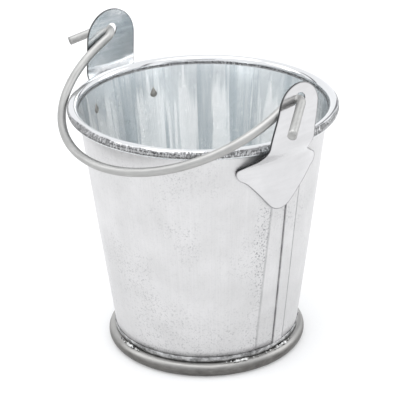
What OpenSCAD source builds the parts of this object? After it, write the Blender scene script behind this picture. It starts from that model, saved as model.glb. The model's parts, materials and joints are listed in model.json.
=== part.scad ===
// Small galvanised tin pail with a swinging wire bail. Millimetres, +Z up.
// The origin is the centre of the foot hoop's resting plane. X runs from ear to ear.

/* [Wall] */
// Outer diameter of the wall where it stands on the floor
wall_base_d = 69.8; // [68:0.2:71]
// Outer diameter of the wall at the neck, just under the rolled rim
wall_neck_d = 91.2; // [90:0.2:91.6]
// Height of the neck above the table
neck_z = 90; // [88:0.5:90.5]
// Thickness of the sheet
sheet_t = 0.4; // [0.3:0.05:0.5]

/* [Rolled rim] */
// Outer diameter over the rolled rim
rim_d = 100; // [99.8:0.1:100.4]
// Height of the top of the rolled rim above the table
rim_top_z = 96.4; // [96:0.1:97]
// Outer diameter of the roll's section
curl_d = 3.9; // [3.7:0.1:4]
// Degrees of the roll left open where its cut edge meets the wall
curl_open_deg = 32; // [24:1:60]
// Slack between the stiffening wire and the roll
rim_wire_slack = 0.02; // [0.01:0.01:0.1]

/* [Lock seam] */
// Direction of the seam round the pail, counted from the right ear
seam_deg = 6; // [0:1:12]
// Width of the seam as an angle
seam_width_deg = 8.5; // [6:0.5:10]
// How far the folded layers stand out from the wall
seam_rise = 0.4; // [0.3:0.05:0.4]

/* [Floor and foot] */
// Diameter of the foot hoop's wire
hoop_wire_d = 5.4; // [5:0.1:5.6]
// Outer diameter of the foot hoop
hoop_d = 75.8; // [75:0.1:76]
// Depth worn flat under the foot hoop
hoop_flat = 0.1; // [0.05:0.05:0.2]
// Height of the floor's upturned skirt above the inside of the floor
skirt_h = 1.8; // [1.4:0.1:2.4]
// Slack between the skirt and the wall inside it
skirt_slack = 0.02; // [0.01:0.01:0.1]
// Diameter of a solder tack's section
solder_d = 1.5; // [1.2:0.1:1.6]

/* [Ears] */
// Height of the bail's axis above the table
pivot_z = 111; // [110:0.5:112]
// Distance of the bail's axis from the pail's centre line, along Y
pivot_y = -1.35; // [-1.5:0.05:0]
// Distance from the pail's centre to an ear's inner face, at the hole
ear_x = 51.1; // [51:0.1:51.4]
// Thickness of an ear
ear_t = 0.6; // [0.5:0.05:0.7]
// Diameter of the hole for the bail
ear_hole_d = 5.3; // [5.2:0.1:5.6]
// Half width of the right and of the left tab at the top of its straight sides
tab_half = [9.2, 11.3]; // [9:0.1:11.5]
// Half width of the right and of the left tab at the neck, just above the lobes
tab_neck_half = [11, 11.4]; // [10.4:0.1:12]
// Height of the right and of the left tab above the bail's axis
tab_rise = [6.2, 8.2]; // [6:0.1:9]
// Half width over the two lobes
lobe_half = 17.6; // [17.4:0.1:18]
// Rounding of a lobe's end
lobe_r = 3.1; // [3:0.1:3.2]
// Distance of the lobes below the bail's axis
lobe_drop = 26.9; // [26.6:0.1:27.2]
// Distance of the ear's bottom tip below the bail's axis
tip_drop = 43.2; // [42.8:0.1:43.6]
// Degrees by which the right and the left ear lean about their holes
ear_lean = [2, 3.5]; // [0:0.5:5]
// How far the neck of the right and of the left ear is cut off centre
neck_shift = [-2.7, 0]; // [-3:0.1:0]
// Distance from an ear's middle to each spot weld
weld_half = 15.2; // [15:0.1:15.4]
// Diameter of a spot weld
weld_d = 3; // [2.6:0.1:3.2]

/* [Bail] */
// Diameter of the bail's wire
bail_wire_d = 3.2; // [3:0.1:3.2]
// Radius of the bail's round end, to the middle of the wire
bail_r = 49; // [48.9:0.1:49.2]
// Length of the straight legs, from the axis to the round end
bail_leg = 7.3; // [7:0.1:8]
// Angle at which the lowered bail lies below the horizontal
bail_rest_deg = 26.5; // [25.5:0.5:26.5]
// Bend radius of the right and of the left hook
hook_r = [2.4, 4.2]; // [2.2:0.1:4.4]
// Degrees through which the right and the left hook are bent
hook_turn = [149, 144]; // [140:1:152]
// Length of the right and of the left stub beyond its bend
stub_len = [16.5, 12.5]; // [10:0.5:18]

/* [Hidden] */
$fn = 96;

// The hoop lies on the table, the floor on the hoop, and the wall on the floor.
hoop_r = hoop_wire_d / 2;
hoop_ring_r = hoop_d / 2 - hoop_r;
hoop_mid_z = hoop_r - hoop_flat;
pan_z = hoop_mid_z + hoop_r;
floor_z = pan_z + sheet_t;
skirt_z = floor_z + skirt_h;

// The rolled rim.
curl_r = curl_d / 2;
rim_ring_r = rim_d / 2 - curl_r;
rim_mid_z = rim_top_z - curl_r;

// The ears: the sheet follows the wall up to joggle_z, then steps out to a flat tab.
ear_gap = seam_rise + 0.05;
joggle_z = pivot_z - lobe_drop + 2.3;
tab_z = 96.8;
neck_fillet_r = 3;
neck_fillet_drop = 19.3;
neck_shift_drop = 34;
lobe_mid = lobe_half - lobe_r;
// A lobe ends in a hollow, from which a straight edge runs tangent into the round tip
lobe_end_deg = 62;
hollow_r = 7;
edge_deg = 43;
edge_from_mid = lobe_mid * cos(edge_deg) + lobe_drop * sin(edge_deg)
                + (lobe_r + hollow_r) * cos(lobe_end_deg - edge_deg) - hollow_r;
tip_r = (edge_from_mid - tip_drop * sin(edge_deg)) / (1 - sin(edge_deg));
ear_columns = 14;
weld_drop = 26.5;
weld_bite = 0.15;

// Places of the solder tacks round the foot, and the angle that each one covers.
solder_places = [[-24, 7], [5, 9], [62, 6], [128, 8], [196, 6], [262, 5]];
solder_ring_r = hoop_ring_r + 0.85;
solder_z = pan_z + 0.15;

// A stub starts a little inside its bend, and the wire is drawn thinner there by a hair.
stub_lap = 0.3;
stub_neck = 0.04;

// Outer radius of the wall at height z
function wall_r(z) =
    (wall_base_d + (wall_neck_d - wall_base_d) * (z - floor_z) / (neck_z - floor_z)) / 2;

// Smooth step from 0 to 1
function ease(t) = let (k = max(0, min(1, t))) k * k * (3 - 2 * k);

// One arc of the ear's right-hand edge, as rows of [half width, height above the axis]
function edge_arc(mid, drop, r, a0, a1, n) =
    [for (i = [0:n]) let (a = a0 + (a1 - a0) * i / n) [mid + r * cos(a), r * sin(a) - drop]];

// The n rows between the end of one stretch of the edge and the start of the next
function edge_line(from, to, n) =
    let (p = from[len(from) - 1], q = to[0])
    [for (i = [1:n]) p + (q - p) * i / (n + 1)];

// The whole right-hand edge of an ear, from its bottom tip to its top; side 0 is the right ear, 1 the left
function ear_edge(side) =
    let (half = tab_half[side],
         tip = edge_arc(0, tip_drop - tip_r, tip_r, -86, -edge_deg, 5),
         lobe = edge_arc(lobe_mid, lobe_drop, lobe_r, 12 - lobe_end_deg, 42, 5),
         hollow = edge_arc(lobe_mid + (lobe_r + hollow_r) * cos(lobe_end_deg),
                           lobe_drop + (lobe_r + hollow_r) * sin(lobe_end_deg), hollow_r,
                           180 - edge_deg, 180 - lobe_end_deg, 2),
         neck = edge_arc(tab_neck_half[side] + neck_fillet_r, neck_fillet_drop, neck_fillet_r, 220, 180, 4),
         tab = edge_arc(0, half - tab_rise[side], half, 0, 86, 9))
    concat(tip, edge_line(tip, hollow, 5), hollow, lobe, edge_line(lobe, neck, 2), neck,
           edge_line(neck, tab, 8), tab);

// Distance of an ear's inner face from the YZ plane
function ear_face_x(y, z) =
    let (on_wall = sqrt(pow(wall_r(z) + ear_gap, 2) - y * y),
         step = ease((z - joggle_z) / (tab_z - joggle_z)))
    on_wall * (1 - step) + ear_x * step;

// A point of a leaning ear, u to the side and v up from its hole
function ear_point(u, v, side, depth) =
    let (lean = ear_lean[side],
         s = u + neck_shift[side] * pow(sin(180 * max(0, min(1, -v / neck_shift_drop))), 2),
         y = pivot_y + s * cos(lean) + v * sin(lean),
         z = pivot_z + v * cos(lean) - s * sin(lean))
    [ear_face_x(y, z) + depth, y, z];

module body_sheet() {
    base_r = wall_r(floor_z);
    neck_r = wall_r(neck_z);
    seam_top = neck_z + 1.5;
    seam_low = skirt_z + 0.3;
    color("lightsteelblue") {
        rotate_extrude($fn = 180) {
            polygon([[base_r - sheet_t, floor_z], [base_r, floor_z], [neck_r, neck_z],
                     [rim_ring_r - curl_r + sheet_t, rim_mid_z], [rim_ring_r - curl_r, rim_mid_z],
                     [neck_r - sheet_t, neck_z]]);
            translate([rim_ring_r, rim_mid_z])
                difference() {
                    circle(r = curl_r);
                    circle(r = curl_r - sheet_t);
                    polygon([[0, 0], [-curl_d, 0],
                             [-curl_d * cos(curl_open_deg), -curl_d * sin(curl_open_deg)]]);
                }
        }
        rotate([0, 0, seam_deg - seam_width_deg / 2])
            rotate_extrude(angle = seam_width_deg)
                polygon([[wall_r(seam_low) - sheet_t / 2, seam_low],
                         [wall_r(seam_low) + seam_rise, seam_low],
                         [wall_r(seam_top) + seam_rise, seam_top],
                         [wall_r(seam_top) - sheet_t / 2, seam_top]]);
    }
}

module rim_wire() {
    color("gray")
        rotate_extrude($fn = 180)
            translate([rim_ring_r, rim_mid_z])
                circle(r = curl_r - sheet_t - rim_wire_slack, $fn = 32);
}

// The floor is a shallow pan pressed over the foot of the wall.
module bottom_pan() {
    low_r = wall_r(floor_z) + skirt_slack;
    top_r = wall_r(skirt_z) + skirt_slack;
    color("silver")
        rotate_extrude($fn = 180)
            polygon([[0, pan_z], [low_r + sheet_t, pan_z], [top_r + sheet_t, skirt_z],
                     [top_r, skirt_z], [low_r, floor_z], [0, floor_z]]);
}

module foot_hoop() {
    color("dimgray")
        rotate_extrude($fn = 180)
            intersection() {
                translate([hoop_ring_r, hoop_mid_z])
                    circle(r = hoop_r, $fn = 48);
                translate([hoop_ring_r - hoop_wire_d, 0])
                    square([2 * hoop_wire_d, 2 * hoop_wire_d]);
            }
}

module foot_solder() {
    color("gainsboro")
        for (place = solder_places)
            rotate([0, 0, place[0]])
                rotate_extrude(angle = place[1], $fn = 180)
                    translate([solder_ring_r, solder_z])
                        circle(d = solder_d, $fn = 24);
}

// A pressed ear, drawn on the +X side: a sheet of rows up its edge and columns across it
module ear(side) {
    edge = ear_edge(side);
    rows = len(edge);
    cols = ear_columns + 1;
    face = [for (depth = [0, ear_t], row = edge, j = [0:ear_columns])
                ear_point(row[0] * (2 * j / ear_columns - 1), row[1], side, depth)];
    function at(layer, i, j) = (layer * rows + i) * cols + j;
    inner = [for (i = [0:rows - 2], j = [0:cols - 2])
                each [[at(0, i, j), at(0, i + 1, j), at(0, i + 1, j + 1)],
                      [at(0, i, j), at(0, i + 1, j + 1), at(0, i, j + 1)]]];
    outer = [for (i = [0:rows - 2], j = [0:cols - 2])
                each [[at(1, i, j), at(1, i + 1, j + 1), at(1, i + 1, j)],
                      [at(1, i, j), at(1, i, j + 1), at(1, i + 1, j + 1)]]];
    sides = [for (i = [0:rows - 2])
                each [[at(0, i, 0), at(1, i, 0), at(1, i + 1, 0)],
                      [at(0, i, 0), at(1, i + 1, 0), at(0, i + 1, 0)],
                      [at(0, i, cols - 1), at(1, i + 1, cols - 1), at(1, i, cols - 1)],
                      [at(0, i, cols - 1), at(0, i + 1, cols - 1), at(1, i + 1, cols - 1)]]];
    ends = [for (j = [0:cols - 2])
                each [[at(0, 0, j), at(1, 0, j + 1), at(1, 0, j)],
                      [at(0, 0, j), at(0, 0, j + 1), at(1, 0, j + 1)],
                      [at(0, rows - 1, j), at(1, rows - 1, j), at(1, rows - 1, j + 1)],
                      [at(0, rows - 1, j), at(1, rows - 1, j + 1), at(0, rows - 1, j + 1)]]];
    difference() {
        polyhedron(points = face, faces = concat(inner, outer, sides, ends));
        translate([ear_x - ear_t, pivot_y, pivot_z])
            rotate([0, 90, 0])
                cylinder(d = ear_hole_d, h = 3 * ear_t, $fn = 48);
    }
}

module ear_right() {
    color("lavender")
        ear(0);
}

module ear_left() {
    color("lavender")
        mirror([1, 0, 0])
            ear(1);
}

// The two weld nuggets of an ear, drawn on the +X side, from inside the wall into the lobes
module ear_welds(side) {
    for (hand = [-1, 1]) {
        on_lobe = ear_point(hand * weld_half, -weld_drop, side, 0);
        inside_r = wall_r(on_lobe[2]) - sheet_t - weld_bite;
        rotate([0, 0, atan2(on_lobe[1], on_lobe[0])])
            translate([inside_r, 0, on_lobe[2]])
                rotate([0, 90, 0])
                    cylinder(d = weld_d, h = sheet_t + ear_gap + 2 * weld_bite, $fn = 32);
    }
}

module ear_welds_right() {
    color("slategray")
        ear_welds(0);
}

module ear_welds_left() {
    color("slategray")
        mirror([1, 0, 0])
            ear_welds(1);
}

// A bend of the bail's wire in the XY plane, starting at angle start
module wire_bend(mid, r, start, turn) {
    translate([mid[0], mid[1], 0])
        rotate([0, 0, start])
            rotate_extrude(angle = turn, $fn = 180)
                translate([r, 0])
                    circle(d = bail_wire_d, $fn = 32);
}

// A straight length of the bail's wire in the XY plane, along +Y
module wire_run(x, y, length, d) {
    translate([x, y, 0])
        rotate([-90, 0, 0])
            cylinder(d = d, h = length, $fn = 32);
}

// A leg, its hook through the ear and the stub outside, on the +X side
module bail_end(r, turn, stub) {
    wire_run(bail_r, r, bail_leg - r, bail_wire_d);
    wire_bend([bail_r + r, r], r, 180, turn);
    translate([bail_r + r, r, 0])
        rotate([0, 0, 180 + turn])
            wire_run(r, -stub_lap, stub + stub_lap, bail_wire_d - stub_neck);
}

module bail() {
    color("darkgray")
        translate([0, pivot_y, pivot_z])
            rotate([180 + bail_rest_deg, 0, 0]) {
                wire_bend([0, bail_leg], bail_r, 0, 180);
                bail_end(hook_r[0], hook_turn[0], stub_len[0]);
                mirror([1, 0, 0])
                    bail_end(hook_r[1], hook_turn[1], stub_len[1]);
            }
}

body_sheet();
rim_wire();
bottom_pan();
foot_hoop();
foot_solder();
ear_right();
ear_left();
ear_welds_right();
ear_welds_left();
bail();
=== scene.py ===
import json
import math

import bmesh
import bpy
from mathutils import Matrix, Vector, noise


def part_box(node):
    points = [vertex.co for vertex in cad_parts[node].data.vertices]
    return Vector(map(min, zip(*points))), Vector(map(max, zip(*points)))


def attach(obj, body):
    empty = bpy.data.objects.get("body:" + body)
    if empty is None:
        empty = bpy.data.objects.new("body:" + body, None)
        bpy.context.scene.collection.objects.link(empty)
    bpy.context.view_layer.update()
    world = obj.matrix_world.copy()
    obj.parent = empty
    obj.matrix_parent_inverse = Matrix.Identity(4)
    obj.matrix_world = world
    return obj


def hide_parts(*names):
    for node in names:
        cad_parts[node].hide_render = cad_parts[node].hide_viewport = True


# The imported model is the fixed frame. Lengths below are millimetres; each mesh is scaled once, as it is
# handed over, and sizes that the frame holds are read from its nodes' boxes.
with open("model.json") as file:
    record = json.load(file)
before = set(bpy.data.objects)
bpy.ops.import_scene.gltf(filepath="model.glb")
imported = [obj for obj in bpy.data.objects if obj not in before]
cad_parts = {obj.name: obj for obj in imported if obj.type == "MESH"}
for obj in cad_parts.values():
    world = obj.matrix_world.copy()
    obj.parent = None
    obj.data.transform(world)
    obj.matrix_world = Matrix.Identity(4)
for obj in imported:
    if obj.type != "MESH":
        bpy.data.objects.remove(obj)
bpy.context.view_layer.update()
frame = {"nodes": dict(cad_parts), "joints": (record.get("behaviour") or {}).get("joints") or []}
mm = 0.001


def node_box(node):
    """Lowest and highest corner of a CAD node at rest, in millimetres."""
    low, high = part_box(node)
    return low / mm, high / mm


# ---- Camera and studio ----
# A long lens looks down on the pail from in front of its right ear. The pail stands on a roll of white
# paper under a pale tent, with a soft box overhead and grey flags that put the dark edges into the metal.
camera_turn = math.radians(48.64)
camera_rise = math.radians(24.58)
camera_distance = 642.5
aim_height = 55.6
camera_yaw = -0.0027
camera_roll = -0.016

scene = bpy.context.scene
scene.view_settings.view_transform = "Standard"
camera = bpy.data.objects.new("camera", bpy.data.cameras.new("camera"))
scene.collection.objects.link(camera)
scene.camera = camera
camera.data.sensor_width = 36
camera.data.lens = 153.2
camera.data.clip_start = 0.01
camera.data.clip_end = 20
to_camera = Vector((math.sin(camera_turn) * math.cos(camera_rise),
                    -math.cos(camera_turn) * math.cos(camera_rise), math.sin(camera_rise)))
aim = Matrix.Translation((Vector((0, 0, aim_height)) + to_camera * camera_distance) * mm)
camera.matrix_world = (aim @ to_camera.to_track_quat("Z", "Y").to_matrix().to_4x4()
                       @ Matrix.Rotation(-camera_yaw, 4, "Y") @ Matrix.Rotation(camera_roll, 4, "Z"))


def add(tree, kind, settings=None, **sockets):
    """A new shader node, with its settings made and its named sockets linked or set."""
    made = tree.nodes.new("ShaderNode" + kind)
    for name, value in (settings or {}).items():
        setattr(made, name, value)
    for name, value in sockets.items():
        plug(tree, made.inputs[name.replace("_", " ")], value)
    return made


def plug(tree, socket, value):
    """Links a socket when value is another node's output, and sets it otherwise."""
    if isinstance(value, bpy.types.NodeSocket):
        tree.links.new(value, socket)
    else:
        socket.default_value = value


def new_material(name, **shader):
    """A new material with one Principled shader; shader gives the sockets that are the same all over."""
    material = bpy.data.materials.new(name)
    material.use_nodes = True
    tree = material.node_tree
    surface = tree.nodes["Principled BSDF"]
    for socket, value in shader.items():
        surface.inputs[socket.replace("_", " ")].default_value = value
    return material, tree, surface


paper, paper_tree, paper_surface = new_material("studio_paper", Roughness=0.9, Emission_Strength=0.30)
paper_grain = add(paper_tree, "TexNoise", Scale=900.0, Detail=3.0,
                  Vector=add(paper_tree, "TexCoord").outputs["Object"])
paper_tone = add(paper_tree, "ValToRGB", Fac=paper_grain.outputs["Fac"])
paper_tone.color_ramp.elements[0].color = (0.55, 0.55, 0.555, 1)
paper_tone.color_ramp.elements[1].color = (0.58, 0.58, 0.58, 1)
paper_tree.links.new(paper_tone.outputs["Color"], paper_surface.inputs["Base Color"])
paper_surface.inputs["Emission Color"].default_value = (1, 1, 1, 1)

bm = bmesh.new()
bmesh.ops.create_circle(bm, cap_ends=True, segments=96, radius=5)
floor = bpy.data.objects.new("studio_floor", bpy.data.meshes.new("studio_floor"))
bm.to_mesh(floor.data)
bm.free()
floor.data.materials.append(paper)
scene.collection.objects.link(floor)

world = bpy.data.worlds.new("tent")
scene.world = world
world.use_nodes = True
world.node_tree.nodes["Background"].inputs["Color"].default_value = (0.965, 0.98, 1.0, 1)
world.node_tree.nodes["Background"].inputs["Strength"].default_value = 1.3


def soft_box(name, turn, rise, distance, width, height, glow):
    """A flat light aimed at the pail; glow is its brightness, where 1 is white paper."""
    light = bpy.data.lights.new(name, "AREA")
    light.shape = "RECTANGLE"
    light.size = width
    light.size_y = height
    light.energy = glow * math.pi * width * height
    lamp = bpy.data.objects.new(name, light)
    lamp.visible_camera = False
    scene.collection.objects.link(lamp)
    turn, rise = math.radians(turn), math.radians(rise)
    away = Vector((math.sin(turn) * math.cos(rise), -math.cos(turn) * math.cos(rise), math.sin(rise)))
    lamp.matrix_world = (Matrix.Translation(away * distance)
                         @ away.to_track_quat("Z", "Y").to_matrix().to_4x4())


soft_box("box_overhead", 20, 80, 1.3, 1.1, 0.8, 2.2)
soft_box("box_left", -45, 35, 1.4, 0.5, 1.0, 1.9)
soft_box("box_right", 150, 30, 1.4, 0.5, 0.9, 1.9)


def flag(name, turn, rise, distance, width, height, grey):
    """A card that only the metal sees, so that it puts a darker stripe into it."""
    card = new_material(name, Roughness=1.0, Base_Color=(grey, grey, grey * 1.05, 1))[0]
    mesh_maker = bmesh.new()
    bmesh.ops.create_grid(mesh_maker, x_segments=1, y_segments=1, size=0.5)
    turn, rise = math.radians(turn), math.radians(rise)
    away = Vector((math.sin(turn) * math.cos(rise), -math.cos(turn) * math.cos(rise), math.sin(rise)))
    place = (Matrix.Translation(away * distance) @ away.to_track_quat("Z", "Y").to_matrix().to_4x4()
             @ Matrix.Diagonal((width, height, 1, 1)))
    bmesh.ops.transform(mesh_maker, matrix=place, verts=mesh_maker.verts)
    made = bpy.data.objects.new(name, bpy.data.meshes.new(name))
    mesh_maker.to_mesh(made.data)
    mesh_maker.free()
    made.data.materials.append(card)
    made.visible_camera = False
    made.visible_diffuse = False
    made.visible_shadow = False
    scene.collection.objects.link(made)


flag("flag_front", 50, 22, 1.1, 0.5, 0.3, 0.42)
flag("flag_left", -75, 25, 1.2, 0.16, 0.8, 0.25)
flag("flag_back", 200, 25, 1.2, 0.22, 0.8, 0.25)
flag("flag_right", 105, 25, 1.2, 0.14, 0.8, 0.25)


# ---- Wall and rolled rim ----
# One sheet of tin-plated steel, bent round into a cone and rolled outwards over a wire at the top. The
# plating is bright inside and on the roll, and duller and pitted outside.
rim_low, rim_high = node_box("rim_wire")
sheet_low, sheet_high = node_box("body_sheet")
pan_low, pan_high = node_box("bottom_pan")
sheet = sheet_low.z - pan_low.z
core_r = (rim_high.z - rim_low.z) / 2
roll_z = (rim_high.z + rim_low.z) / 2
roll_ring_r = rim_high.x - core_r
roll_r = sheet_high.z - roll_z
neck_drop = 4.45
neck_step = 0.5
neck_z = roll_z - neck_drop
neck_r = roll_ring_r - roll_r - neck_step
floor_top = sheet_low.z
skirt_top = pan_high.z
foot_slope = (neck_r - (pan_high.x - sheet)) / (neck_z - skirt_top)
roll_open = math.radians(32)
round_steps = 288


def wall_r(z):
    """Outer radius of the wall at height z."""
    return neck_r + foot_slope * (z - neck_z)


def ripple(turn, z, waves, reach):
    """A slow, smooth swell round the pail, at most about reach high."""
    return reach * noise.noise(Vector((waves * math.cos(turn), waves * math.sin(turn), z / 60)))


def swell(bm):
    """Pushes the sheet in and out a little between the foot and the neck, which hold it round."""
    for corner in bm.verts:
        z = corner.co.z
        turn = math.atan2(corner.co.y, corner.co.x)
        held = min(1, max(0, (z - floor_top) / 8)) * min(1, max(0, (neck_z + 3 - z) / 12))
        push = held * (ripple(turn, z, 2.5, 0.25) + ripple(turn, z, 9, 0.09))
        corner.co += corner.co.xy.normalized().to_3d() * push


def lathe(bm, outline, closed=False, steps=round_steps):
    """Spins an outline of (radius, height) points once round the pail's axis."""
    points = [bm.verts.new((r, 0, z)) for r, z in outline]
    ends = points[1:] + points[:1] if closed else points[1:]
    edges = [bm.edges.new(pair) for pair in zip(points, ends)]
    bmesh.ops.spin(bm, geom=points + edges, cent=(0, 0, 0), axis=(0, 0, 1), angle=2 * math.pi,
                   steps=steps, use_merge=True)
    bmesh.ops.remove_doubles(bm, verts=bm.verts, dist=1e-4)
    bmesh.ops.recalc_face_normals(bm, faces=bm.faces)


def hand_over(name, bm, body, materials, replaces=()):
    """Turns a finished mesh, made in millimetres, into a smooth piece that rides on a body."""
    bmesh.ops.scale(bm, vec=(mm, mm, mm), verts=bm.verts)
    piece = bpy.data.objects.new(name, bpy.data.meshes.new(name))
    bm.to_mesh(piece.data)
    bm.free()
    for material in materials:
        piece.data.materials.append(material)
    piece.data.shade_smooth()
    scene.collection.objects.link(piece)
    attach(piece, body)
    if replaces:
        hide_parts(*replaces)
    return piece


def maths(tree, operation, *values):
    """Output of a Math node."""
    made = add(tree, "Math", {"operation": operation})
    for socket, value in zip(made.inputs, values):
        plug(tree, socket, value)
    return made.outputs[0]


def span(tree, value, low, high, to_low, to_high, smooth=False):
    """Output of a Map Range node, clamped."""
    kind = {"interpolation_type": "SMOOTHSTEP"} if smooth else {}
    made = add(tree, "MapRange", kind, Value=value, From_Min=low, From_Max=high, To_Min=to_low,
               To_Max=to_high)
    return made.outputs["Result"]


def tint(tree, factor, first, second):
    """Colour output of a Mix node; each end is a colour or another output."""
    made = add(tree, "Mix", {"data_type": "RGBA"})
    for socket, value in zip((made.inputs[0], made.inputs[6], made.inputs[7]), (factor, first, second)):
        plug(tree, socket, value)
    return made.outputs[2]


def bump(tree, surface, height, strength, reach):
    """Gives the shader's surface a relief of the given height in millimetres."""
    made = add(tree, "Bump", Height=height, Strength=strength, Distance=reach * mm)
    tree.links.new(made.outputs["Normal"], surface.inputs["Normal"])


def round_axis(tree, across, along):
    """Coordinates that wrap round the pail: across and along say how often a pattern repeats."""
    spot = add(tree, "SeparateXYZ", Vector=add(tree, "TexCoord").outputs["Object"])
    flat = add(tree, "CombineXYZ", X=spot.outputs["X"], Y=spot.outputs["Y"])
    ring = add(tree, "VectorMath", {"operation": "NORMALIZE"})
    tree.links.new(flat.outputs[0], ring.inputs[0])
    ring = add(tree, "SeparateXYZ", Vector=ring.outputs[0])
    made = add(tree, "CombineXYZ", X=maths(tree, "MULTIPLY", ring.outputs["X"], across),
               Y=maths(tree, "MULTIPLY", ring.outputs["Y"], across),
               Z=maths(tree, "MULTIPLY", spot.outputs["Z"], along))
    return made.outputs[0]


def grain(tree, vector, scale, detail=4.0, rough=0.55):
    """Output of a Noise texture."""
    return add(tree, "TexNoise", Vector=vector, Scale=scale, Detail=detail,
               Roughness=rough).outputs["Fac"]


def object_place(tree):
    """The piece's own coordinates."""
    return add(tree, "TexCoord").outputs["Object"]


def tin_inside():
    """Bright tin with painted reflections: light upright bands and streaks, bluer and duller between them."""
    material, tree, surface = new_material("bright_tin_inside", Metallic=0.8)
    spot = add(tree, "SeparateXYZ", Vector=object_place(tree))
    turn = maths(tree, "ARCTAN2", spot.outputs["Y"], spot.outputs["X"])
    broad = grain(tree, round_axis(tree, 3.2, 6.0), 1.0, 3.0, 0.6)
    fine = grain(tree, round_axis(tree, 16.0, 14.0), 1.0, 5.0, 0.6)
    hair = grain(tree, round_axis(tree, 150.0, 30.0), 1.0, 2.0, 0.5)
    wander = span(tree, fine, 0.3, 0.7, -0.09, 0.09)
    # Painted reflections: bright upright bands at the listed directions, with soft, wandering edges, fading
    # near the top.
    reflection_band = 0.0
    for middle, half in painted_reflection_bands:
        off = maths(tree, "ABSOLUTE", maths(tree, "SUBTRACT", maths(tree, "ADD", turn, wander),
                                            math.radians(middle)))
        edge_in, edge_out = math.radians(0.75 * half), math.radians(1.2 * half)
        reflection_band = maths(tree, "MAXIMUM", reflection_band, span(tree, off, edge_in, edge_out, 1.0, 0.0, True))
    ragged = maths(tree, "ADD", spot.outputs["Z"], span(tree, fine, 0.3, 0.7, -0.012, 0.012))
    fade = span(tree, ragged, reflection_band_top * mm, (neck_z - 2) * mm, 1.0, 0.35)
    reflection_band = maths(tree, "MULTIPLY", reflection_band, fade)
    # Painted reflections as well: random upright streaks of light.
    reflection_streaks = span(tree, maths(tree, "ADD", maths(tree, "MULTIPLY", broad, 0.5),
                               maths(tree, "MULTIPLY", fine, 0.5)), 0.46, 0.6, 0.0, 0.45, True)
    light = maths(tree, "MAXIMUM", reflection_band, reflection_streaks)
    tree.links.new(tint(tree, light, (0.57, 0.61, 0.63, 1), (1.0, 1.0, 0.995, 1)),
                   surface.inputs["Base Color"])
    spots = grain(tree, object_place(tree), 420.0, 4.0)
    mixed = maths(tree, "ADD", maths(tree, "MULTIPLY", hair, 0.5), maths(tree, "MULTIPLY", spots, 0.5))
    tree.links.new(span(tree, mixed, 0.35, 0.65, 0.14, 0.28), surface.inputs["Roughness"])
    relief = maths(tree, "ADD", fine, maths(tree, "MULTIPLY", hair, 0.06))
    bump(tree, surface, maths(tree, "ADD", relief, maths(tree, "MULTIPLY", spots, 0.03)), 1.0, 0.14)
    return material


# Middle and half width, in degrees, of each painted reflection band, and the height at which they start to
# fade.
painted_reflection_bands = [(166, 9), (147, 6), (130, 5), (103, 7), (62, 6), (24, 5), (-6, 8), (-32, 6), (-50, 7),
               (-70, 9), (-108, 10), (-135, 7), (-160, 12)]
reflection_band_top = 80
inside_tin = tin_inside()


def roll_tin():
    """The rolled rim: bright on its crown, crimped and darker in bands on its outer side."""
    material, tree, surface = new_material("rolled_tin", Metallic=1.0)
    spot = add(tree, "SeparateXYZ", Vector=object_place(tree))
    radius = maths(tree, "SQRT", maths(tree, "ADD", maths(tree, "POWER", spot.outputs["X"], 2.0),
                                       maths(tree, "POWER", spot.outputs["Y"], 2.0)))
    side = maths(tree, "ARCTAN2", maths(tree, "SUBTRACT", spot.outputs["Z"], roll_z * mm),
                 maths(tree, "SUBTRACT", radius, roll_ring_r * mm))
    wander = grain(tree, round_axis(tree, 2.4, 0.0), 1.0, 3.0)
    edge = maths(tree, "ADD", side, span(tree, wander, 0.3, 0.7, -0.4, 0.4))
    # The outer side of the roll is made darker, up to a wandering edge below the crown.
    outer_band = span(tree, edge, 0.7, 1.0, 1.0, 0.0, True)
    crimps = grain(tree, round_axis(tree, 85.0, 900.0), 1.0, 5.0, 0.7)
    lines = add(tree, "TexNoise", {"noise_dimensions": "2D"}, Scale=1.0, Detail=2.0,
                Vector=add(tree, "CombineXYZ", X=maths(tree, "MULTIPLY", side, 9.0),
                           Y=maths(tree, "MULTIPLY", wander, 2.5)).outputs[0])
    crimped_outer_band = maths(tree, "MULTIPLY", outer_band, span(tree, crimps, 0.38, 0.56, 0.3, 1.0, True))
    shade = maths(tree, "MULTIPLY", crimped_outer_band, span(tree, lines.outputs["Fac"], 0.42, 0.52, 0.62, 1.0, True))
    tree.links.new(tint(tree, shade, (0.66, 0.662, 0.668, 1), (0.07, 0.07, 0.072, 1)),
                   surface.inputs["Base Color"])
    tree.links.new(span(tree, shade, 0.0, 1.0, 0.1, 0.42), surface.inputs["Roughness"])
    bump(tree, surface, maths(tree, "MULTIPLY", crimps, shade), 1.0, 0.16)
    return material


def beside(tree, spot, low_turn, high_turn):
    """Distance round the wall, in metres, from a line drawn up it between two directions in degrees."""
    line = span(tree, spot.outputs["Z"], seam_low * mm, crease_top * mm, math.radians(low_turn),
                math.radians(high_turn))
    turn = maths(tree, "ARCTAN2", spot.outputs["Y"], spot.outputs["X"])
    radius = maths(tree, "SQRT", maths(tree, "ADD", maths(tree, "POWER", spot.outputs["X"], 2.0),
                                       maths(tree, "POWER", spot.outputs["Y"], 2.0)))
    return maths(tree, "MULTIPLY", maths(tree, "SUBTRACT", turn, line), radius)


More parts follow.
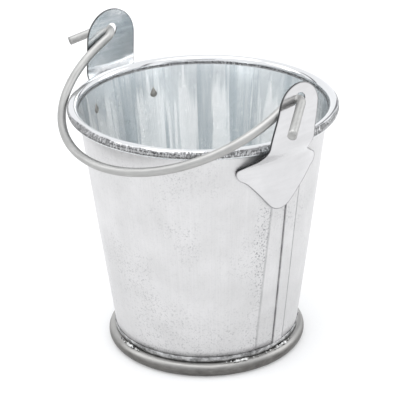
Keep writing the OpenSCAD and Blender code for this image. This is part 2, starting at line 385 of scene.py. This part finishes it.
def tin_outside():
    """Dull tin: a faint mottle, drawing lines up the sheet, small dark pits, and painted shade along the
    seam.
    """
    material, tree, surface = new_material("tin_outside", Metallic=1.0)
    place = object_place(tree)
    spot = add(tree, "SeparateXYZ", Vector=place)
    cloud = grain(tree, place, 70.0, 6.0, 0.6)
    drawn = grain(tree, round_axis(tree, 120.0, 40.0), 1.0, 3.0)
    pits = grain(tree, place, 1300.0, 3.0, 0.7)
    tone = maths(tree, "ADD", maths(tree, "MULTIPLY", cloud, 0.7), maths(tree, "MULTIPLY", drawn, 0.3))
    sheen = tint(tree, span(tree, tone, 0.35, 0.65, 0.0, 1.0), (0.585, 0.581, 0.58, 1),
                 (0.69, 0.684, 0.685, 1))
    field = span(tree, grain(tree, place, 40.0, 3.0), 0.42, 0.62, 0.12, 0.55, True)
    crease_off = beside(tree, spot, *seam_shade_lines[0][:2])
    scorch = maths(tree, "MULTIPLY", span(tree, crease_off, -8.0 * mm, -0.8 * mm, 0.0, 1.0, True),
                   span(tree, crease_off, -0.3 * mm, 0.1 * mm, 1.0, 0.0, True))
    low = span(tree, spot.outputs["Z"], 26 * mm, 50 * mm, 0.4, 2.0, True)
    high = span(tree, spot.outputs["Z"], 60 * mm, 68 * mm, 1.0, 0.3, True)
    scorch = maths(tree, "MULTIPLY", scorch, maths(tree, "MULTIPLY", low, high))
    field = maths(tree, "ADD", field, scorch)
    dark = maths(tree, "MULTIPLY", span(tree, pits, 0.52, 0.66, 0.0, 1.0, True), field)
    sheen = tint(tree, dark, sheen, (0.33, 0.33, 0.34, 1))
    broken = span(tree, grain(tree, place, 260.0, 4.0), 0.3, 0.6, 0.55, 1.0)
    # Painted shade: each line is darkened, broken by noise, where the crease and the fold's gaps shade the
    # wall.
    for low_turn, high_turn, reach, depth in seam_shade_lines:
        off = maths(tree, "ABSOLUTE", beside(tree, spot, low_turn, high_turn))
        line = span(tree, off, 0.3 * reach * mm, reach * mm, depth, 0.0, True)
        sheen = tint(tree, maths(tree, "MULTIPLY", line, broken), sheen, (0.14, 0.14, 0.145, 1))
    tree.links.new(sheen, surface.inputs["Base Color"])
    tree.links.new(span(tree, tone, 0.3, 0.7, 0.42, 0.56), surface.inputs["Roughness"])
    bump(tree, surface, maths(tree, "ADD", maths(tree, "MULTIPLY", pits, 0.3), cloud), 1.0, 0.03)
    return material


# Painted shade in lines up the wall: direction at the foot and at the top in degrees, half width and
# darkness.
# The first is a soft crease beside the seam, the others are the gaps under the fold's left and right edges.
seam_low = skirt_top + 0.3
crease_top = 68
seam_shade_lines = [(-10.6, -7.6, 0.7, 0.36), (2.6, 1.3, 0.55, 0.7), (11.6, 10.0, 0.7, 0.85)]
outside_tin = tin_outside()
rim_tin = roll_tin()

wall_rows = 18
neck_rows = 4
roll_rows = 30
inner_wall = [(wall_r(z) - sheet, z) for z in
              (floor_top + (neck_z - floor_top) * i / wall_rows for i in range(wall_rows + 1))]
neck = [(neck_r - sheet + (roll_ring_r - roll_r - neck_r + sheet) * i / neck_rows,
         neck_z + (roll_z - neck_z) * i / neck_rows) for i in range(1, neck_rows)]
roll_turn = 2 * math.pi - roll_open
roll = [(roll_ring_r - roll_r * math.cos(roll_turn * i / roll_rows),
         roll_z + roll_r * math.sin(roll_turn * i / roll_rows)) for i in range(roll_rows + 1)]
bm = bmesh.new()
lathe(bm, inner_wall + neck + roll)
middle_face = min(bm.faces, key=lambda face: abs(face.calc_center_median().z - roll_z / 2))
if middle_face.normal.dot(middle_face.calc_center_median().xy.to_3d()) > 0:
    bmesh.ops.reverse_faces(bm, faces=bm.faces)
swell(bm)
for face in bm.faces:
    face.material_index = 2 if face.calc_center_median().z > neck_z + 3.5 else 0
wall = hand_over("pail_wall", bm, "bucket",
                 [inside_tin, outside_tin, rim_tin, outside_tin], ["body_sheet"])
wall_thickness = wall.modifiers.new("thickness", "SOLIDIFY")
wall_thickness.thickness = sheet * mm
wall_thickness.offset = -1
wall_thickness.use_even_offset = True
wall_thickness.material_offset = 1
wall_thickness.material_offset_rim = 1


# ---- Stiffening wire ----
# A plain steel wire inside the rolled rim, seen only where the roll's cut edge leaves a gap under it.
steel_wire, wire_tree, wire_surface = new_material("core_wire_steel", Metallic=1.0)
wire_tone = grain(wire_tree, round_axis(wire_tree, 40.0, 900.0), 1.0)
wire_tree.links.new(tint(wire_tree, wire_tone, (0.30, 0.29, 0.28, 1), (0.5, 0.49, 0.47, 1)),
                    wire_surface.inputs["Base Color"])
wire_tree.links.new(span(wire_tree, wire_tone, 0.3, 0.7, 0.3, 0.5), wire_surface.inputs["Roughness"])
frame["nodes"]["rim_wire"].data.materials.clear()
frame["nodes"]["rim_wire"].data.materials.append(steel_wire)


# ---- Lock seam ----
# The two upright edges of the wall are hooked together and hammered flat. The fold stands out as a
# strip, with shade painted along the crevice at each of its edges.
seam_rise = 0.38
seam_sink = 0.2
seam_high = neck_z + 1.2
seam_rows = 40
edge_round = 0.18


def seam_outline(z):
    """The strip's section at height z: flat on top, rounded at both edges, sunk a little in the wall."""
    r = wall_r(z)
    up = min(1, max(0, (z - seam_low) / (crease_top - seam_low)))
    right_edge, left_edge = (r * math.radians(foot + (top - foot) * up)
                             for foot, top, *_ in (seam_shade_lines[1], seam_shade_lines[2]))
    points = [(right_edge, -seam_sink)]
    for edge, way, turns in ((right_edge, 1, range(5)), (left_edge, -1, range(4, -1, -1))):
        for i in turns:
            a = math.pi / 2 * i / 4
            in_from_edge, below_top = edge_round * (1 - math.cos(a)), edge_round * (1 - math.sin(a))
            points.append((edge + way * in_from_edge, seam_rise - below_top))
    points.append((left_edge, -seam_sink))
    return [((r + h) * math.cos(s / r), (r + h) * math.sin(s / r), z) for s, h in points]


bm = bmesh.new()
section = [bm.verts.new(point) for point in seam_outline(seam_low)]
strip = [bm.edges.new(pair) for pair in zip(section, section[1:])]
for row in range(1, seam_rows + 1):
    z = seam_low + (seam_high - seam_low) * row / seam_rows
    grown = bmesh.ops.extrude_edge_only(bm, edges=strip)["geom"]
    strip = [part for part in grown if isinstance(part, bmesh.types.BMEdge)
             and all(corner.is_boundary for corner in part.verts) and part.is_boundary]
    fresh = [part for part in grown if isinstance(part, bmesh.types.BMVert)]
    below = seam_outline(seam_low + (seam_high - seam_low) * (row - 1) / seam_rows)
    above = seam_outline(z)
    for corner in fresh:
        nearest = min(range(len(below)), key=lambda i: (Vector(below[i]) - corner.co).length)
        corner.co = above[nearest]
    strip = [edge for edge in strip if all(abs(corner.co.z - z) < 1e-5 for corner in edge.verts)]
swell(bm)
bmesh.ops.recalc_face_normals(bm, faces=bm.faces)
seam_face = min(bm.faces, key=lambda face: abs(math.atan2(*face.calc_center_median().yx) - 0.1))
if seam_face.normal.dot(seam_face.calc_center_median().xy.to_3d()) < 0:
    bmesh.ops.reverse_faces(bm, faces=bm.faces)
hand_over("lock_seam", bm, "bucket", [outside_tin])


# ---- Floor pan ----
# A pressed disc whose edge is turned up outside the foot of the wall. It rests on the hoop.
pan_corner = 0.7
pan_steps = 8
pan_slope = (pan_high.x - (wall_r(floor_top) + sheet + 0.02)) / (skirt_top - floor_top)
pan_edge_r = pan_high.x - pan_slope * (skirt_top - pan_low.z)
pan = [(r, pan_low.z) for r in (0, 8, 16, 22, 23.5, 24.5, 26, 31)]
pan_turns = [math.pi / 2 * i / pan_steps for i in range(pan_steps + 1)]
pan += [(pan_edge_r - pan_corner + pan_corner * math.sin(a), pan_low.z + pan_corner * (1 - math.cos(a)))
        for a in pan_turns]
pan.append((pan_high.x, skirt_top))
bm = bmesh.new()
lathe(bm, pan, steps=192)
bottom_face = min(bm.faces, key=lambda face: face.calc_center_median().z)
if bottom_face.normal.z > 0:
    bmesh.ops.reverse_faces(bm, faces=bm.faces)
pan_tin, pan_tree, pan_surface = new_material("pan_tin", Metallic=1.0)
pan_cloud = grain(pan_tree, object_place(pan_tree), 300.0, 5.0, 0.65)
pan_round = grain(pan_tree, round_axis(pan_tree, 12.0, 500.0), 1.0, 5.0, 0.7)
pan_tone = maths(pan_tree, "ADD", maths(pan_tree, "MULTIPLY", pan_cloud, 0.5),
                 maths(pan_tree, "MULTIPLY", pan_round, 0.5))
pan_light = span(pan_tree, pan_tone, 0.38, 0.6, 0.0, 1.0, True)
# Painted shade: the pan's tin is made dark throughout for the crevice between skirt and hoop; the noise is
# random tone.
pan_tree.links.new(tint(pan_tree, pan_light, (0.10, 0.10, 0.10, 1), (0.5, 0.5, 0.5, 1)),
                   pan_surface.inputs["Base Color"])
pan_tree.links.new(span(pan_tree, pan_tone, 0.3, 0.7, 0.3, 0.5), pan_surface.inputs["Roughness"])
bump(pan_tree, pan_surface, pan_tone, 1.0, 0.15)
floor_pan = hand_over("floor_pan", bm, "bucket", [pan_tin, inside_tin],
                      ["bottom_pan"])
pan_thickness = floor_pan.modifiers.new("thickness", "SOLIDIFY")
pan_thickness.thickness = sheet * mm
pan_thickness.offset = -1
pan_thickness.use_even_offset = True
pan_thickness.material_offset = 1


# ---- Foot hoop ----
# A thick wire ring that the pail stands on, bare steel gone warm grey, with a butt joint at the back
# and a flat worn under it.
hoop_low, hoop_high = node_box("foot_hoop")
hoop_r = (pan_low.z - hoop_low.z + 0.1) / 2
hoop_ring_r = hoop_high.x - hoop_r
hoop_z = pan_low.z - hoop_r
joint_turn = math.radians(150)

hoop_steel, hoop_tree, hoop_surface = new_material("hoop_steel", Metallic=1.0)
drawn_lines = grain(hoop_tree, round_axis(hoop_tree, 14.0, 1500.0), 1.0, 4.0)
hoop_cloud = grain(hoop_tree, object_place(hoop_tree), 160.0, 5.0, 0.6)
hoop_tone = maths(hoop_tree, "ADD", maths(hoop_tree, "MULTIPLY", drawn_lines, 0.45),
                  maths(hoop_tree, "MULTIPLY", hoop_cloud, 0.55))
hoop_height = add(hoop_tree, "SeparateXYZ", Vector=object_place(hoop_tree)).outputs["Z"]
# Painted highlight: the upper part of the hoop is made lighter, as where light from above falls on it.
painted_top_highlight = span(hoop_tree, hoop_height, (hoop_z + 0.6) * mm, (hoop_z + 2.4) * mm, 0.0, 1.0, True)
hoop_colour = tint(hoop_tree, span(hoop_tree, hoop_tone, 0.35, 0.65, 0.0, 1.0),
                   (0.10, 0.096, 0.09, 1), (0.20, 0.194, 0.185, 1))
hoop_colour = tint(hoop_tree, maths(hoop_tree, "MULTIPLY", painted_top_highlight, 0.6), hoop_colour,
                   (0.5, 0.493, 0.48, 1))
hoop_tree.links.new(hoop_colour, hoop_surface.inputs["Base Color"])
hoop_tree.links.new(span(hoop_tree, hoop_tone, 0.3, 0.7, 0.3, 0.46), hoop_surface.inputs["Roughness"])
bump(hoop_tree, hoop_surface, hoop_tone, 1.0, 0.05)

bm = bmesh.new()
lathe(bm, [(hoop_ring_r + hoop_r * math.cos(2 * math.pi * i / 36),
            hoop_z + hoop_r * math.sin(2 * math.pi * i / 36)) for i in range(36)], closed=True, steps=240)
for corner in bm.verts:
    turn = math.atan2(corner.co.y, corner.co.x)
    middle = Vector((hoop_ring_r * math.cos(turn), hoop_ring_r * math.sin(turn), hoop_z))
    from_joint = abs((turn - joint_turn + math.pi) % (2 * math.pi) - math.pi) * hoop_ring_r
    bead = 0.16 * math.exp(-(from_joint / 0.9) ** 2)
    swell = bead + 0.05 * noise.noise(corner.co / 4) - 0.03
    corner.co += (corner.co - middle).normalized() * swell
    corner.co.z = max(0.0, min(pan_low.z, corner.co.z))
hand_over("foot_hoop_ring", bm, "bucket", [hoop_steel], ["foot_hoop"])


# ---- Solder ----
# Rough blobs of solder hold the floor to the hoop. They sit in the crevice between skirt and hoop,
# with crumbs splashed beside them.
solder_z = pan_low.z + 0.15
solder_ring_r = hoop_ring_r + 0.85
tacks = [(-24, 7), (5, 9), (62, 6), (128, 8), (196, 6), (262, 5)]

solder_metal, solder_tree, solder_surface = new_material("solder", Metallic=1.0)
solder_crust = grain(solder_tree, object_place(solder_tree), 1100.0, 5.0, 0.7)
solder_tree.links.new(tint(solder_tree, span(solder_tree, solder_crust, 0.4, 0.6, 0.0, 1.0),
                           (0.10, 0.10, 0.098, 1), (0.9, 0.9, 0.89, 1)),
                      solder_surface.inputs["Base Color"])
solder_tree.links.new(span(solder_tree, solder_crust, 0.3, 0.7, 0.2, 0.6),
                      solder_surface.inputs["Roughness"])
bump(solder_tree, solder_surface, solder_crust, 1.0, 0.25)


def lump(bm, turn, r, z, size, along):
    """A rough pebble of metal, longer round the pail than across."""
    made = bmesh.ops.create_icosphere(bm, subdivisions=3, radius=1)["verts"]
    seed = Vector((turn * 7.3, r, z))
    for corner in made:
        broad, fine = noise.noise(corner.co * 1.9 + seed), noise.noise(corner.co * 5 + seed)
        corner.co *= 1 + 0.32 * broad + 0.15 * fine
    place = (Matrix.Rotation(turn, 4, "Z") @ Matrix.Translation((r, 0, z))
             @ Matrix.Diagonal((size, along, size, 1)))
    bmesh.ops.transform(bm, matrix=place, verts=made)


bm = bmesh.new()
for start, reach in tacks:
    for i in range(4):
        turn = math.radians(start + reach * (i + 0.5) / 4)
        lump(bm, turn, solder_ring_r + 0.12 * math.sin(9 * i + start), solder_z,
             0.6 + 0.12 * math.sin(5 * i), 0.95 + 0.25 * math.sin(3 * i + start))
    for i in range(9):
        turn = math.radians(start - 7 + (reach + 14) * i / 8 + 1.3 * math.sin(7 * i + start))
        lump(bm, turn, solder_ring_r + 0.3 * math.sin(4 * i), solder_z,
             0.28 + 0.06 * math.sin(3 * i), 0.34)
hand_over("solder_blobs", bm, "bucket", [solder_metal], ["foot_solder"])


# ---- Ears ----
# Two pressed plates, cut with a domed tab above and two lobes and a tip below. The lower part follows
# the wall; above it the plate steps out to a flat tab with a punched hole for the bail. A dark band is
# painted along the sheared edges: shade of the gap under them, together with grime.
hinge = next(joint for joint in frame["joints"] if joint["name"] == "bail_swing")
pivot_y, pivot_z = (hinge["pos_m"][axis] / mm for axis in (1, 2))
ear_gap = 0.45
ear_t = 0.6
ear_x = node_box("ear_right")[1].x - ear_t
hole_r = 2.65
tab_half = {"right": 9.2, "left": 11.3}
tab_neck_half = {"right": 11, "left": 11.4}
tab_rise = {"right": 6.2, "left": 8.2}
ear_lean = {"right": math.radians(2), "left": math.radians(3.5)}
neck_shift = {"right": -2.7, "left": 0}
neck_shift_drop = 34
lobe_mid, lobe_r, lobe_drop, tip_drop = 14.5, 3.1, 26.9, 43.2
lobe_end, hollow_r, edge_slope = math.radians(62), 7, math.radians(43)
neck_fillet_r, neck_fillet_drop = 3, 19.3
joggle_z = pivot_z - lobe_drop + 2.3
tab_z = 96.8
ear_columns = 40


def ear_plate_tin(name, dull, bright):
    """Rolled tin with a faint cross grain and scuffs, and painted shade with grime along its sheared outline.
    """
    material, tree, surface = new_material(name, Metallic=1.0)
    place = object_place(tree)
    cloud = grain(tree, place, 110.0, 5.0, 0.6)
    fine = grain(tree, place, 1400.0, 3.0)
    spot = add(tree, "Mapping", Vector=place)
    spot.inputs["Scale"].default_value = (60, 60, 700)
    scuff = grain(tree, spot.outputs[0], 1.0, 4.0)
    tone = maths(tree, "ADD", maths(tree, "MULTIPLY", cloud, 0.6), maths(tree, "MULTIPLY", scuff, 0.4))
    plate = tint(tree, span(tree, tone, 0.35, 0.65, 0.0, 1.0), dull, bright)
    # Painted shade: the plate darkens within about 0.4 mm of its outline, for the gap under the edge, with
    # grime.
    inward = add(tree, "Attribute", {"attribute_name": "from_edge"}).outputs["Fac"]
    edge_shade_and_grime = span(tree, inward, 0.16, 0.42, 0.8, 0.0, True)
    edge_shade_and_grime = maths(tree, "MULTIPLY", edge_shade_and_grime, span(tree, cloud, 0.35, 0.55, 0.55, 1.0))
    tree.links.new(tint(tree, edge_shade_and_grime, plate, (0.12, 0.12, 0.123, 1)), surface.inputs["Base Color"])
    tree.links.new(span(tree, tone, 0.3, 0.7, 0.09, 0.2), surface.inputs["Roughness"])
    bump(tree, surface, maths(tree, "ADD", cloud, maths(tree, "MULTIPLY", fine, 0.05)), 1.0, 0.1)
    return material


ear_tin = ear_plate_tin("ear_tin", (0.585, 0.58, 0.584, 1), (0.65, 0.645, 0.65, 1))
ear_tin_inside = ear_plate_tin("ear_tin_inside", (0.62, 0.67, 0.70, 1), (1.0, 1.0, 1.0, 1))
# Cut edges of bare steel, made near black so that they also draw the shade of the gap round the ear's
# outline.
ear_cut, cut_tree, cut_surface = new_material("ear_cut_edge", Metallic=1.0)
cut_tone = grain(cut_tree, object_place(cut_tree), 900.0, 4.0)
cut_tree.links.new(tint(cut_tree, cut_tone, (0.02, 0.02, 0.021, 1), (0.09, 0.09, 0.093, 1)),
                   cut_surface.inputs["Base Color"])
cut_tree.links.new(span(cut_tree, cut_tone, 0.3, 0.7, 0.4, 0.6), cut_surface.inputs["Roughness"])


def arc_rows(mid, drop, r, start, end, steps):
    """Stretch of an ear's right-hand edge, as (half width, height above the hole) rows."""
    turns = (start + (end - start) * i / steps for i in range(steps + 1))
    return [(mid + r * math.cos(a), r * math.sin(a) - drop) for a in turns]


def straight_rows(stretch, following, steps):
    """Rows between the end of one stretch and the start of the next."""
    (w0, v0), (w1, v1) = stretch[-1], following[0]
    return [(w0 + (w1 - w0) * i / steps, v0 + (v1 - v0) * i / steps) for i in range(1, steps)]


def ear_edge(side):
    """All rows of an ear, from its round tip past the hollow, lobe and neck to its top."""
    s = math.sin(edge_slope)
    reach = lobe_r + hollow_r
    edge_from_mid = (lobe_mid * math.cos(edge_slope) + lobe_drop * s
                     + reach * math.cos(lobe_end - edge_slope) - hollow_r)
    tip_r = (edge_from_mid - tip_drop * s) / (1 - s)
    half, neck_half, up = tab_half[side], tab_neck_half[side], math.radians(88)
    tip = arc_rows(0, tip_drop - tip_r, tip_r, -up, -edge_slope, 10)
    hollow = arc_rows(lobe_mid + reach * math.cos(lobe_end), lobe_drop + reach * math.sin(lobe_end), hollow_r,
                      math.pi - edge_slope, math.pi - lobe_end, 5)
    lobe = arc_rows(lobe_mid, lobe_drop, lobe_r, -lobe_end, math.radians(42), 12)
    neck_fillet = arc_rows(neck_half + neck_fillet_r, neck_fillet_drop, neck_fillet_r,
                           math.radians(220), math.pi, 5)
    tab = arc_rows(0, half - tab_rise[side], half, 0, up, 22)
    return (tip + straight_rows(tip, hollow, 10) + hollow + lobe[1:] + straight_rows(lobe, neck_fillet, 6)
            + neck_fillet + straight_rows(neck_fillet, tab, 16) + tab)


def ear_face_x(y, z):
    """Distance of an ear's inner face from the middle plane."""
    on_wall = math.sqrt((wall_r(z) + ear_gap) ** 2 - y * y)
    step = min(1, max(0, (z - joggle_z) / (tab_z - joggle_z)))
    step = step * step * (3 - 2 * step)
    return on_wall * (1 - step) + ear_x * step


def ear_spot(side, u, v):
    """Height and sideways place of a point of an ear, u to the side and v up from its hole."""
    lean = ear_lean[side]
    u += neck_shift[side] * math.sin(math.pi * max(0, min(1, -v / neck_shift_drop))) ** 2
    return (pivot_y + u * math.cos(lean) + v * math.sin(lean),
            pivot_z + v * math.cos(lean) - u * math.sin(lean))


def to_stretch(spot, start, end):
    """Distance from a spot to the straight stretch between start and end."""
    along = end - start
    part = max(0, min(1, (spot - start).dot(along) / along.length_squared))
    return (start + along * part - spot).length


def baked(piece):
    """Applies a piece's modifiers, so that its mesh is final."""
    made = bpy.data.meshes.new_from_object(piece.evaluated_get(bpy.context.evaluated_depsgraph_get()))
    piece.modifiers.clear()
    piece.data = made


def make_ear(side, way):
    """An ear on the side where X is way, from a grid laid in its outline."""
    rows = ear_edge(side)
    bm = bmesh.new()
    bmesh.ops.create_grid(bm, x_segments=ear_columns, y_segments=len(rows) - 1, size=1)
    from_edge = bm.verts.layers.float.new("from_edge")
    outline = [Vector(row) for row in rows]
    for corner in bm.verts:
        half, v = rows[round((corner.co.y + 1) / 2 * (len(rows) - 1))]
        here = Vector((abs(half * corner.co.x), v))
        corner[from_edge] = min(to_stretch(here, start, end) for start, end in zip(outline, outline[1:]))
        y, z = ear_spot(side, half * corner.co.x, v)
        corner.co = (way * ear_face_x(y, z), y, z)
    bmesh.ops.recalc_face_normals(bm, faces=bm.faces)
    if next(iter(bm.faces)).normal.x * way > 0:
        bmesh.ops.reverse_faces(bm, faces=bm.faces)
    ear = hand_over("ear_plate_" + side, bm, "bucket",
                    [ear_tin_inside, ear_cut, ear_tin], ["ear_" + side])
    thick = ear.modifiers.new("thickness", "SOLIDIFY")
    thick.thickness = ear_t * mm
    thick.offset = -1
    thick.material_offset = 2
    thick.material_offset_rim = 1
    punch_bm = bmesh.new()
    bmesh.ops.create_cone(punch_bm, cap_ends=True, segments=64, radius1=hole_r * mm, radius2=hole_r * mm,
                          depth=6 * ear_t * mm)
    hole_middle = Vector((way * (ear_x + ear_t / 2), pivot_y, pivot_z)) * mm
    bmesh.ops.transform(punch_bm, verts=punch_bm.verts,
                        matrix=Matrix.Translation(hole_middle) @ Matrix.Rotation(math.pi / 2, 4, "Y"))
    punch = bpy.data.objects.new("punch", bpy.data.meshes.new("punch"))
    punch_bm.to_mesh(punch.data)
    punch_bm.free()
    scene.collection.objects.link(punch)
    hole = ear.modifiers.new("hole", "BOOLEAN")
    hole.object = punch
    hole.operation = "DIFFERENCE"
    soft = ear.modifiers.new("edges", "BEVEL")
    soft.width = 0.28 * mm
    soft.segments = 3
    soft.material = 1
    soft.limit_method = "ANGLE"
    soft.angle_limit = math.radians(50)
    soft.harden_normals = True
    baked(ear)
    bpy.data.objects.remove(punch)


make_ear("right", 1)
make_ear("left", -1)


# ---- Spot welds ----
# Each ear is welded through the wall at its two lobes. Inside, each weld leaves a burnt nugget with a
# run of metal above it.
weld_half = 15.2
weld_drop = 26.5

weld_burn, weld_tree, weld_surface = new_material("weld_burn", Metallic=1.0)
weld_cloud = grain(weld_tree, object_place(weld_tree), 700.0, 5.0)
weld_tree.links.new(tint(weld_tree, span(weld_tree, weld_cloud, 0.35, 0.65, 0.0, 1.0),
                         (0.20, 0.19, 0.175, 1), (0.46, 0.44, 0.41, 1)), weld_surface.inputs["Base Color"])
weld_tree.links.new(span(weld_tree, weld_cloud, 0.3, 0.7, 0.3, 0.55), weld_surface.inputs["Roughness"])
bump(weld_tree, weld_surface, weld_cloud, 1.0, 0.12)

for side, way in (("right", 1), ("left", -1)):
    bm = bmesh.new()
    for hand in (-1, 1):
        y, z = ear_spot(side, hand * weld_half, -weld_drop)
        turn = math.atan2(y, ear_face_x(y, z))
        drop = bmesh.ops.create_uvsphere(bm, u_segments=28, v_segments=16, radius=1)["verts"]
        for corner in drop:
            up = max(0, corner.co.y)
            corner.co.x *= 1 - 0.75 * up ** 1.5
            corner.co.y *= 1 + 0.75 * up
            corner.co *= 1 + 0.06 * noise.noise(corner.co * 2 + Vector((hand, way, 0)))
        tilt = math.atan(foot_slope)
        place = (Matrix.Rotation(turn, 4, "Z") @ Matrix.Translation((wall_r(z) - sheet, 0, z))
                 @ Matrix.Rotation(tilt, 4, "Y") @ Matrix.Rotation(math.pi / 2, 4, "Z")
                 @ Matrix.Rotation(math.pi / 2, 4, "X") @ Matrix.Diagonal((1.45, 1.45, 0.22, 1)))
        if way < 0:
            place = Matrix.Diagonal((-1, 1, 1, 1)) @ place
        bmesh.ops.transform(bm, matrix=place, verts=drop)
    bmesh.ops.recalc_face_normals(bm, faces=bm.faces)
    hand_over("weld_nuggets_" + side, bm, "bucket", [weld_burn], ["ear_welds_" + side])


# ---- Bail ----
# A length of bright steel wire, bent to a half hoop with straight legs. Each end is hooked through its
# ear from inside and left as a stub with a sheared end, the right one longer than the left.
bail_wire_r = 1.6
bail_r = 49
bail_leg = 7.3
bail_rest = math.radians(26.5)
hooks = {1: (2.4, 149, 16.5), -1: (4.2, 144, 12.5)}
wire_sides = 28

bail_steel, bail_tree, bail_surface = new_material("bail_steel", Metallic=1.0)
bail_place = add(bail_tree, "Mapping", {"vector_type": "TEXTURE"}, Vector=object_place(bail_tree))
bail_place.inputs["Location"].default_value = (0, pivot_y * mm, pivot_z * mm)
bail_place.inputs["Rotation"].default_value = (math.pi + bail_rest, 0, 0)
bail_spot = add(bail_tree, "SeparateXYZ", Vector=bail_place.outputs[0])
bail_out = maths(bail_tree, "SQRT", maths(
    bail_tree, "ADD", maths(bail_tree, "POWER", bail_spot.outputs["X"], 2.0),
    maths(bail_tree, "POWER", maths(bail_tree, "SUBTRACT", bail_spot.outputs["Y"], bail_leg * mm), 2.0)))
bail_along = maths(bail_tree, "ARCTAN2", bail_spot.outputs["Y"], bail_spot.outputs["X"])
draw_place = add(bail_tree, "CombineXYZ", X=maths(bail_tree, "MULTIPLY", bail_out, 1600.0),
                 Y=maths(bail_tree, "MULTIPLY", bail_spot.outputs["Z"], 1600.0),
                 Z=maths(bail_tree, "MULTIPLY", bail_along, 7.0))
draw_lines = grain(bail_tree, draw_place.outputs[0], 1.0, 4.0)
bail_cloud = grain(bail_tree, object_place(bail_tree), 140.0, 5.0)
bail_tone = maths(bail_tree, "ADD", maths(bail_tree, "MULTIPLY", draw_lines, 0.6),
                  maths(bail_tree, "MULTIPLY", bail_cloud, 0.4))
bail_tree.links.new(tint(bail_tree, span(bail_tree, bail_tone, 0.35, 0.65, 0.0, 1.0),
                         (0.35, 0.348, 0.34, 1), (0.45, 0.447, 0.437, 1)), bail_surface.inputs["Base Color"])
bail_tree.links.new(span(bail_tree, bail_tone, 0.3, 0.7, 0.42, 0.52), bail_surface.inputs["Roughness"])
bump(bail_tree, bail_surface, bail_tone, 1.0, 0.03)


def end_ring(parts):
    """The edges of the newest ring of the wire."""
    return [part for part in parts if isinstance(part, bmesh.types.BMEdge)]


def draw_on(bm, ring, step, count):
    """Draws the wire on in a straight line."""
    for _ in range(count):
        grown = bmesh.ops.extrude_edge_only(bm, edges=ring)["geom"]
        fresh = [part for part in grown if isinstance(part, bmesh.types.BMVert)]
        bmesh.ops.translate(bm, vec=step / count, verts=fresh)
        ring = [edge for edge in end_ring(grown) if all(corner in fresh for corner in edge.verts)]
    return ring


def bend_on(bm, ring, middle, turn, count):
    """Bends the wire on round a middle in its own plane."""
    parts = list({corner for edge in ring for corner in edge.verts}) + ring
    bent = bmesh.ops.spin(bm, geom=parts, cent=middle, axis=(0, 0, 1), angle=turn, steps=count)
    return end_ring(bent["geom_last"])


def from_crown(bm, ring, way):
    """Half of the bail, from its crown to the cut end on the side where X is way."""
    r, turn, stub = hooks[way]
    turn = math.radians(turn)
    ring = bend_on(bm, ring, (0, bail_leg, 0), -way * math.pi / 2, 60)
    ring = draw_on(bm, ring, Vector((0, r - bail_leg, 0)), 3)
    ring = bend_on(bm, ring, (way * (bail_r + r), r, 0), way * turn, 18)
    onward = Vector((-way * math.sin(math.pi + turn), math.cos(math.pi + turn), 0))
    ring = draw_on(bm, ring, onward * stub, 8)
    cut = bmesh.ops.contextual_create(bm, geom=ring)["faces"]
    bmesh.ops.inset_region(bm, faces=cut, thickness=0.22, depth=0.12)
    return cut


bm = bmesh.new()
crown = bmesh.ops.create_circle(bm, segments=wire_sides, radius=bail_wire_r)["verts"]
bmesh.ops.transform(bm, verts=crown, matrix=Matrix.Translation((0, bail_leg + bail_r, 0))
                    @ Matrix.Rotation(math.pi / 2, 4, "Y"))
crown_ring = list({edge for corner in crown for edge in corner.link_edges})
from_crown(bm, crown_ring, 1)
from_crown(bm, crown_ring, -1)
bmesh.ops.remove_doubles(bm, verts=bm.verts, dist=1e-4)
bmesh.ops.recalc_face_normals(bm, faces=bm.faces)
bmesh.ops.transform(bm, verts=bm.verts, matrix=Matrix.Translation((0, pivot_y, pivot_z))
                    @ Matrix.Rotation(math.pi + bail_rest, 4, "X"))
hand_over("bail_wire", bm, "bail", [bail_steel], ["bail"])
